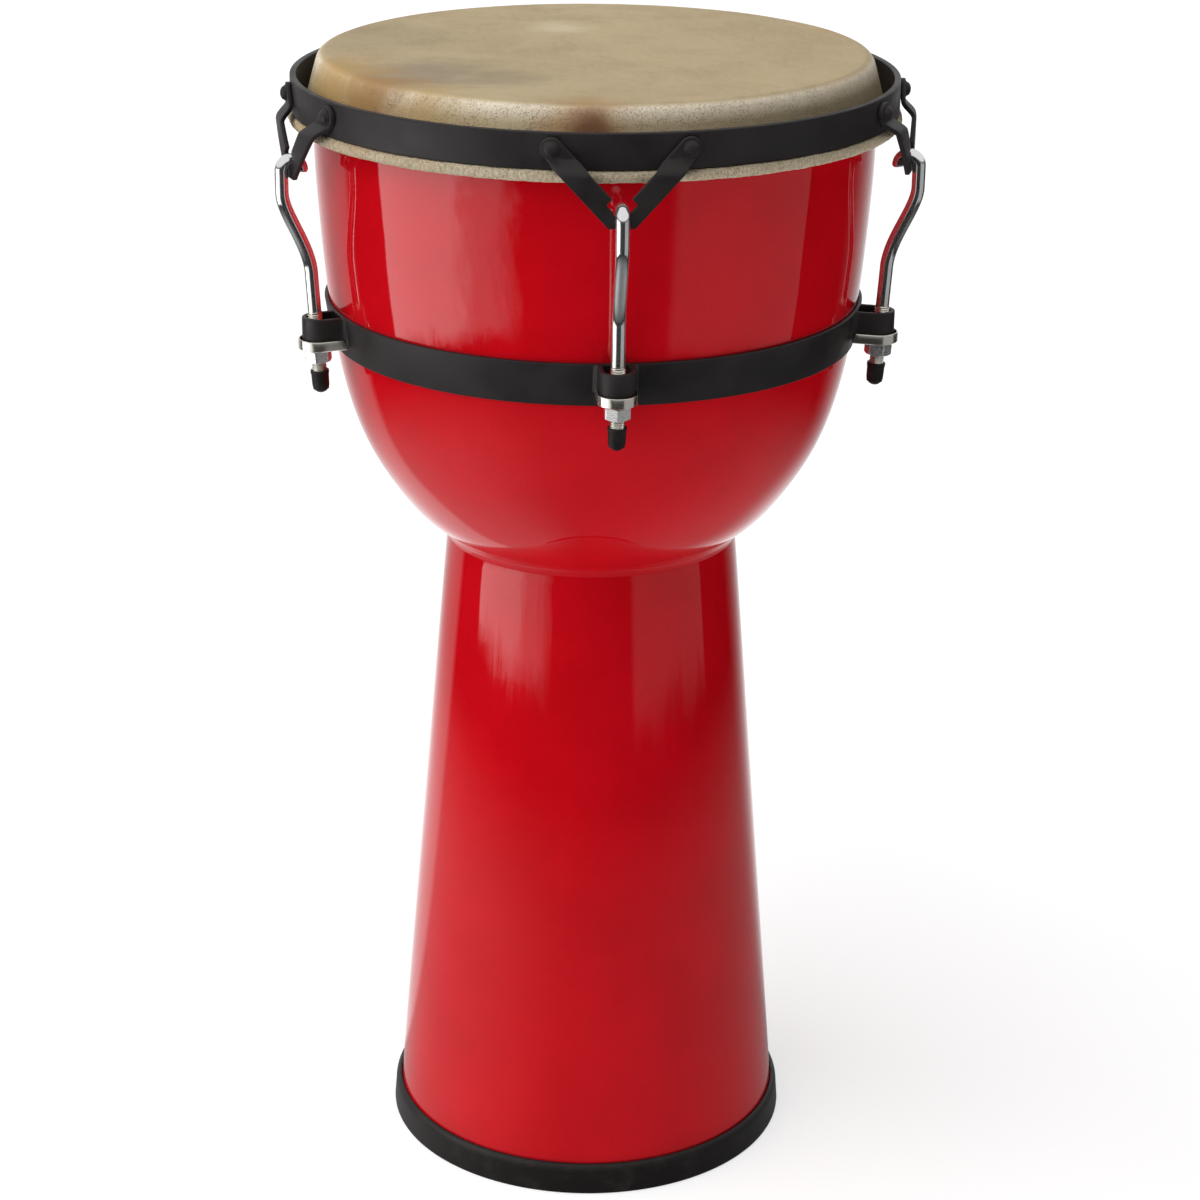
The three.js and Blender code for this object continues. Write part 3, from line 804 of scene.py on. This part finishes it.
def rod_caps():
    """A push-on rubber cap: a dome, a slightly tapered skirt and a rolled lip at its mouth."""
    low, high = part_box("rod_cap_1")
    radius, bore, play, edge = 5 * MM, 4.3 * MM, 0.2 * MM, 0.5 * MM
    dome, skirt = radius * 0.92, radius * 0.95
    bottom, top = low.z - NUT_CENTRE.z, high.z - NUT_CENTRE.z - play
    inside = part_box("tension_rod_1")[0].z - NUT_CENTRE.z - play
    profile = [
        *arc((0, bottom + dome), dome, -90, 0, 12),
        Vector((skirt, top - 2.4 * MM)), Vector((radius, top - 1.8 * MM)),
        *arc((radius - edge, top - edge), edge, 0, 90, 4),
        Vector((bore, top)), Vector((bore, inside)), Vector((0, inside)),
    ]
    mesh = turned("cap", profile, around=40, place=ON_ROD)
    show_at_lugs(mesh, "rod_cap_{}", "rod_{}", "black_rubber", RUBBER)


# ---- Rim ----------------------------------------------------------------------------------------------

RIM_LOW, RIM_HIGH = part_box("counter_hoop")
RIM_INNER, RIM_OUTER = radii("counter_hoop")
PLATE = 2.5 * MM
PLATE_PLAY = 0.3 * MM             # between the rim and the claws that are riveted to it
EAR_LOW, EAR_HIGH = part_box("claw_rivet_1_right")
RIVET_SHANK = 2.5 * MM


def rivet_places():
    """Angle and height of every rivet, by node name."""
    places = {}
    for lug in LUGS:
        for hand in ("left", "right"):
            node = f"claw_rivet_{lug}_{hand}"
            low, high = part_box(node)
            middle = (low + high) / 2
            places[node] = (math.atan2(middle.y - AXIS_Y, middle.x), middle.z)
    return places


def on_rivet(angle, height):
    """From a rivet's own frame, where Z is its axis, into the drum's frame. Z starts at the shell's axis."""
    turn = Matrix.Rotation(angle, 4, "Z") @ Matrix.Rotation(math.pi / 2, 4, "Y")
    return TO_AXIS @ Matrix.Translation((0, 0, height)) @ turn


def hoop():
    """A flat steel band with softened edges and a hole for each rivet."""
    low, high = RIM_LOW.z, RIM_HIGH.z
    corners = [(RIM_INNER, low), (RIM_OUTER, low), (RIM_OUTER, high), (RIM_INNER, high)]
    band = turned("hoop", rounded(corners, 0.8 * MM))
    hole, depth = RIVET_SHANK + 0.2 * MM, 12 * MM
    drill = bmesh.new()
    for angle, height in rivet_places().values():
        place = on_rivet(angle, height) @ Matrix.Translation((0, 0, RIM_OUTER))
        bmesh.ops.create_cone(
            drill, cap_ends=True, segments=24, radius1=hole, radius2=hole, depth=depth, matrix=place)
    holes = bpy.data.objects.new("holes", finish_mesh("holes", drill))
    piece = show(band, "counter_hoop", None, "black_steel", STEEL)
    cutter = piece.modifiers.new("holes", "BOOLEAN")
    cutter.operation = "DIFFERENCE"
    cutter.object = holes
    bpy.context.scene.collection.objects.link(holes)
    drilled = bpy.data.meshes.new_from_object(piece.evaluated_get(bpy.context.evaluated_depsgraph_get()))
    piece.modifiers.clear()
    piece.data = drilled
    bpy.data.objects.remove(holes)
    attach(piece, "rim")


def claw_outline():
    """The V of a claw, seen from outside: two straps with round ears and a rounded notch over the saddle."""
    ear = Vector(((EAR_LOW.x + EAR_HIGH.x) / 2, (EAR_LOW.z + EAR_HIGH.z) / 2))
    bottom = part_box("claw_1")[0].z
    strap, leg = 11.4 * MM, math.radians(47)
    saddle, saddle_radius = bottom + 4.7 * MM, 4.5 * MM
    notch_depth, notch_at = 4.2 * MM, 4.8 * MM
    down = Vector((-math.cos(leg), -math.sin(leg)))
    inwards = Vector((-math.sin(leg), math.cos(leg)))
    outer = ear - inwards * strap / 2
    inner = ear + inwards * strap / 2
    foot = outer + down * (outer.y - bottom) / math.sin(leg)
    notch_top = inner + down * (inner.x - notch_at) / math.cos(leg)
    notch_low = notch_top - inwards * notch_depth
    saddle_edge = notch_low + down * (notch_low.x - saddle_radius) / math.cos(leg)
    turn = 90 - math.degrees(leg)
    ear_round = arc(ear, strap / 2, -turn, 180 - turn, 16)
    saddle_round = arc((0, saddle + saddle_radius), saddle_radius, 0, -90, 8)
    right = [foot, *ear_round, notch_top, notch_low, saddle_edge, *saddle_round[1:]]
    soft = {0: 1.0 * MM, len(ear_round) + 1: 1.0 * MM, len(ear_round) + 2: 1.4 * MM}
    sizes = [soft.get(i, 0) for i in range(len(right))]
    left = [Vector((-p.x, p.y)) for p in reversed(right[:-1])]
    return rounded(right + left, sizes + sizes[-2::-1])


def claws():
    """Pressed plate: flat on the rim at its ears, stepped out over the flesh hoop, and hanging below it."""
    far = AXIS_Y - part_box("claw_1")[0].y
    upper = RIM_OUTER + PLATE_PLAY
    lower = far - PLATE
    kink_top, kink_low = RIM_LOW.z + 6.2 * MM, RIM_LOW.z - 1.2 * MM

    def bend(p):
        share = min(1, max(0, (p.y - kink_low) / (kink_top - kink_low)))
        radius = lower + (upper - lower) * share * share * (3 - 2 * share)
        slope = (upper - lower) * 6 * share * (1 - share) / (kink_top - kink_low)
        out = Vector((1, -slope)).normalized()
        radius += p.z * out.x + PLATE / 2 * (1 - out.x)
        return Vector((math.sqrt(radius ** 2 - p.x ** 2), p.x, p.y + (p.z - PLATE / 2) * out.y))

    mesh = plate("claw", claw_outline(), PLATE, 0.55 * MM, (4 * MM, 1 * MM), bend)
    show_at_lugs(mesh, "claw_{}", "rim", "black_steel", STEEL)


def rivets():
    """A snap-head rivet: a shank through the rim and the ear, a thin flange and a domed head."""
    head, proud, flange, edge = 4.3 * MM, 3 * MM, 0.6 * MM, 0.15 * MM
    seat = RIM_OUTER + PLATE_PLAY + PLATE
    tail, tail_edge = RIM_INNER - 0.2 * MM, 0.4 * MM
    dome = [Vector((head * 0.88 * math.cos(a), seat + flange + (proud - flange) * math.sin(a)))
            for a in np.linspace(0, math.pi / 2, 10)]
    profile = [
        Vector((0, tail)), Vector((RIVET_SHANK - tail_edge, tail)), Vector((RIVET_SHANK, tail + tail_edge)),
        Vector((RIVET_SHANK, seat)), Vector((head - edge, seat)), Vector((head, seat + 0.2 * MM)),
        Vector((head - edge, seat + flange)), *dome,
    ]
    for node, (angle, height) in rivet_places().items():
        mesh = turned("rivet", profile, around=32, place=on_rivet(angle, height))
        show(mesh, node, "rim", "black_steel", STEEL)


# ---- Head ---------------------------------------------------------------------------------------------

COLLAR_Z = CAD_BOX[1].z - 23 * MM
FLESH_LOW, FLESH_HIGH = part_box("flesh_hoop")
FLESH_BAR = (FLESH_HIGH.z - FLESH_LOW.z) / 2
FLESH_CENTRE = (radii("flesh_hoop")[1] - FLESH_BAR, (FLESH_HIGH.z + FLESH_LOW.z) / 2)
WRAP_END = 125                    # degrees, where the tucked edge ends above the flesh hoop
TOP_WAVES = (0.12 * MM, 28)       # height, and waves in a metre
TUCK_WAVES = [(0.30 * MM, 70), (0.28 * MM, 420), (0.16 * MM, 1100)]


def flesh_hoop():
    """A ring of round bar."""
    profile = arc(FLESH_CENTRE, FLESH_BAR, 0, 360, 24)[:-1]
    show(turned("flesh", profile), "flesh_hoop", "rim", "bare_steel", BARE)


def skin_face(depth):
    """One face of the skin, from the head's middle to its tucked edge. depth is how far in the face lies."""
    top = CAD_BOX[1].z
    flat_steps = 40
    line = [Vector((SHOULDER_RADIUS * i / flat_steps, top - depth)) for i in range(flat_steps)]
    line += arc((SHOULDER_RADIUS, top - SHOULDER_BEND), SHOULDER_BEND - depth, 90, SHOULDER_LEAN, 12)
    spread = (line[-1].y - COLLAR_Z) * math.tan(math.radians(SHOULDER_LEAN))
    collar = Vector((line[-1].x + spread, COLLAR_Z))
    wrap = arc(FLESH_CENTRE, FLESH_BAR + SKIN_PLAY + depth, -180, WRAP_END, 44)
    wall = smooth_line([line[-1], line[-1].lerp(collar, 0.5), collar, wrap[0]], 1.2 * MM)
    return line + wall[1:-1] + wrap


def skin():
    """Stretched skin: a little uneven on top, and puckered where it is tucked round the flesh hoop."""
    outer, inner = skin_face(0), skin_face(SKIN)
    steps = 720
    top_height, top_waves = TOP_WAVES
    rows = []
    for i in range(steps):
        angle = 2 * math.pi * i / steps
        out = Vector((math.cos(angle), math.sin(angle), 0))
        row = []
        for p in outer:
            place = out * p.x + Vector((0, 0, p.y))
            row.append(place - Vector((0, 0, top_height * (1 + noise.noise(place * top_waves)))))
        for p in reversed(inner):
            place = out * p.x + Vector((0, 0, p.y))
            from_bar = p - Vector(FLESH_CENTRE)
            exposed = max(0, min(1, from_bar.x / FLESH_BAR + 0.6)) if p.y < RIM_LOW.z else 0
            swell = sum(size * noise.noise(place * waves) for size, waves in TUCK_WAVES)
            push = from_bar.normalized() * exposed * swell
            row.append(place + out * push.x + Vector((0, 0, push.y)))
        rows.append(row)
    mesh = mesh_of_rows("skin", rows, sharp=60)
    mesh.transform(TO_AXIS)
    piece = show(mesh, "drum_skin", None, "rawhide", HIDE)
    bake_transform(piece)


# ---- Studio -------------------------------------------------------------------------------------------

WHITE = (1.0, 1.0, 1.0, 1.0)
BLACK = (0.0, 0.0, 0.0, 1.0)
CAMERA_AZIMUTH = -4.566           # degrees from lug 1 towards lug 2
FLOOR_REACH = 12
FLOOR_GLOW = 0.63
TABLE_EDGE = (0.50, 1.05)         # distances between which the table that reflections see fades out
CEILING_GLOW = 0.75
SOFT_GLOW = 0.03                  # the world's own light on rough surfaces
PANEL_RADIUS = 1.0
PANEL_TOP = 0.62
PANEL_SHEET = 0.002
RIGHT_PANEL_GLOW = 0.34


def camera():
    """The camera stands a little to the left of lug 1, well above the head, and looks down at the waist."""
    distance, height, azimuth = 1.5797, 0.9259, math.radians(CAMERA_AZIMUTH)
    pitch, roll = math.radians(90 - 20.924), math.radians(0.528)
    data = bpy.data.cameras.new("camera")
    data.sensor_width = 36
    data.lens = 88.42
    data.shift_x = 0.0079
    eye = bpy.data.objects.new("camera", data)
    bpy.context.scene.collection.objects.link(eye)
    eye.matrix_world = (
        TO_AXIS @ Matrix.Rotation(azimuth, 4, "Z") @ Matrix.Translation((0, -distance, height))
        @ Matrix.Rotation(pitch, 4, "X") @ Matrix.Rotation(roll, 4, "Z"))
    bpy.context.scene.camera = eye


def round_azimuth(n, x, y):
    """Degrees round the drum from the camera's side, positive to the right."""
    azimuth = n.math("DEGREES", n.math("ARCTAN2", x, n.math("MULTIPLY", y, -1)))
    return n.math("ADD", azimuth, -CAMERA_AZIMUTH)


def far_room(n, azimuth):
    """What reflections see beyond the table: white behind the drum and dark in front of it."""
    left = n.math("ADD", n.ramp(azimuth, -114, -121, 0, 0.5), n.ramp(azimuth, -135, -165, 0, 0.4))
    return n.math("ADD", left, n.ramp(azimuth, 122, 168, 0, 0.9))


def floor():
    """A plain white floor with some light of its own. Reflections see it as a table with a front edge."""
    s = Shader("floor")
    tone = s.ramp(s.noise(400 * MM, detail=2), 0.3, 0.7)
    pale = s.mix(tone, (0.49, 0.49, 0.49), (0.51, 0.51, 0.51))
    reflected = s.add("ShaderNodeLightPath").outputs["Is Glossy Ray"]
    azimuth = round_azimuth(s, s.part(0), s.part(1))
    table = s.math("ADD", s.ramp(azimuth, -5, -75, 0.14, 0.50), s.ramp(azimuth, 10, 110, 0, 0.16))
    table = s.math("ADD", table, s.ramp(azimuth, 110, 168, 0, 0.20))
    table = s.math("ADD", table, far_room(s, azimuth))
    away = s.vector("LENGTH", s.position, output="Value")
    seen = s.between(s.ramp(away, *TABLE_EDGE), table, far_room(s, azimuth))
    s.set(Base_Color=s.mix(reflected, pale, BLACK), Roughness=0.8, Specular_IOR_Level=0.0)
    s.set(Emission_Color=WHITE, Emission_Strength=s.between(reflected, FLOOR_GLOW, seen))
    shape = bmesh.new()
    bmesh.ops.create_grid(shape, x_segments=8, y_segments=8, size=FLOOR_REACH)
    ground = bpy.data.objects.new("floor", finish_mesh("floor", shape))
    ground.data.materials.append(s.material)
    bpy.context.scene.collection.objects.link(ground)


def from_azimuth(azimuth, rise=0.0):
    """The direction from the drum at an azimuth, measured in degrees from the camera's side to the right."""
    turn, lift = math.radians(azimuth + CAMERA_AZIMUTH), math.radians(rise)
    return Vector((math.sin(turn) * math.cos(lift), -math.cos(turn) * math.cos(lift), math.sin(lift)))


def lamp(name, way, energy, angle):
    """A broad, far lamp that shines back along way and doesn't show in reflections."""
    data = bpy.data.lights.new(name, "SUN")
    data.energy = energy
    data.angle = angle
    made = bpy.data.objects.new(name, data)
    made.location = way * 3
    made.rotation_euler = way.to_track_quat("Z", "Y").to_euler()
    made.visible_glossy = False
    bpy.context.scene.collection.objects.link(made)


def key_light():
    """Broad daylight from the front left and from above. The softboxes take its place in reflections."""
    front_left, up = from_azimuth(-65, 40), Vector((0, 0, 1))
    lamp("key_light", front_left, energy=2.35, angle=math.radians(80))
    lamp("top_light", up, energy=1.2, angle=math.radians(60))


def softboxes():
    """Two curved, glowing panels that only reflections see: a bright one left and a dim one right."""
    s = Shader("softboxes")
    azimuth = round_azimuth(s, s.part(0), s.part(1))
    height = s.part(2)
    patchy = s.math("SUBTRACT", s.noise(120 * MM, detail=6, roughness=0.65), 0.5)
    ragged = s.math("ADD", azimuth, s.math("MULTIPLY", patchy, 22))
    low_edge = s.math("ADD", height, s.math("MULTIPLY", patchy, 0.12))
    lit = s.math("ADD", s.ramp(ragged, -26, -42, 0, 1.1), s.ramp(ragged, -46, -58, 0, 1.3))
    left = s.math("MULTIPLY", s.ramp(azimuth, -91.5, -90), s.ramp(low_edge, 0.05, 0.12))
    right = s.math("MULTIPLY", s.ramp(azimuth, 27, 34), s.ramp(azimuth, 91.5, 90.5))
    right = s.math("MULTIPLY", right, s.ramp(low_edge, 0.0, 0.10))
    left_cover = s.math("MULTIPLY", left, s.ramp(ragged, -26, -32))
    glow = s.math("ADD", s.math("MULTIPLY", left, lit), s.math("MULTIPLY", right, RIGHT_PANEL_GLOW))
    s.set(Base_Color=BLACK, Specular_IOR_Level=0.0, Emission_Color=WHITE)
    s.set(Emission_Strength=glow, Alpha=s.math("ADD", left_cover, right))
    outside = PANEL_RADIUS + PANEL_SHEET
    wall = [(PANEL_RADIUS, 0), (PANEL_RADIUS, PANEL_TOP), (outside, PANEL_TOP), (outside, 0)]
    panels = bpy.data.objects.new("softboxes", turned("softboxes", wall, around=96))
    panels.data.materials.append(s.material)
    bpy.context.scene.collection.objects.link(panels)
    panels.visible_camera = False
    panels.visible_diffuse = False
    panels.visible_shadow = False


def world():
    """A white studio: even for the camera and for soft light. Reflections see the far room and a ceiling."""
    made = bpy.data.worlds.new("studio")
    made.use_nodes = True
    bpy.context.scene.world = made
    w = Nodes(made.node_tree)
    ray = w.add("ShaderNodeLightPath").outputs
    way = w.add("ShaderNodeTexCoord").outputs["Generated"]
    x, y, z = w.add("ShaderNodeSeparateXYZ", {0: way}).outputs
    room = far_room(w, round_azimuth(w, x, y))
    reflected = w.between(w.ramp(z, 0.02, 0.30), room, CEILING_GLOW)
    soft = w.between(ray["Is Glossy Ray"], SOFT_GLOW, reflected)
    background = w.tree.nodes["Background"].inputs
    w.feed(background["Color"], WHITE)
    w.feed(background["Strength"], w.between(ray["Is Camera Ray"], soft, 1.0))


LACQUER, INSIDE, STEEL, RUBBER = red_lacquer(), shell_inside(), black_steel(), black_rubber()
CHROME, ZINC, BARE, HIDE = chrome(), zinc(), bare_steel(), rawhide()

bowl()
stem()
foot()
belt()
lug_loops()
tray_washers()
tension_rods()
tuning_nuts()
rod_caps()
hoop()
claws()
rivets()
flesh_hoop()
skin()

camera()
floor()
key_light()
softboxes()
world()
bpy.context.scene.view_settings.view_transform = "Standard"
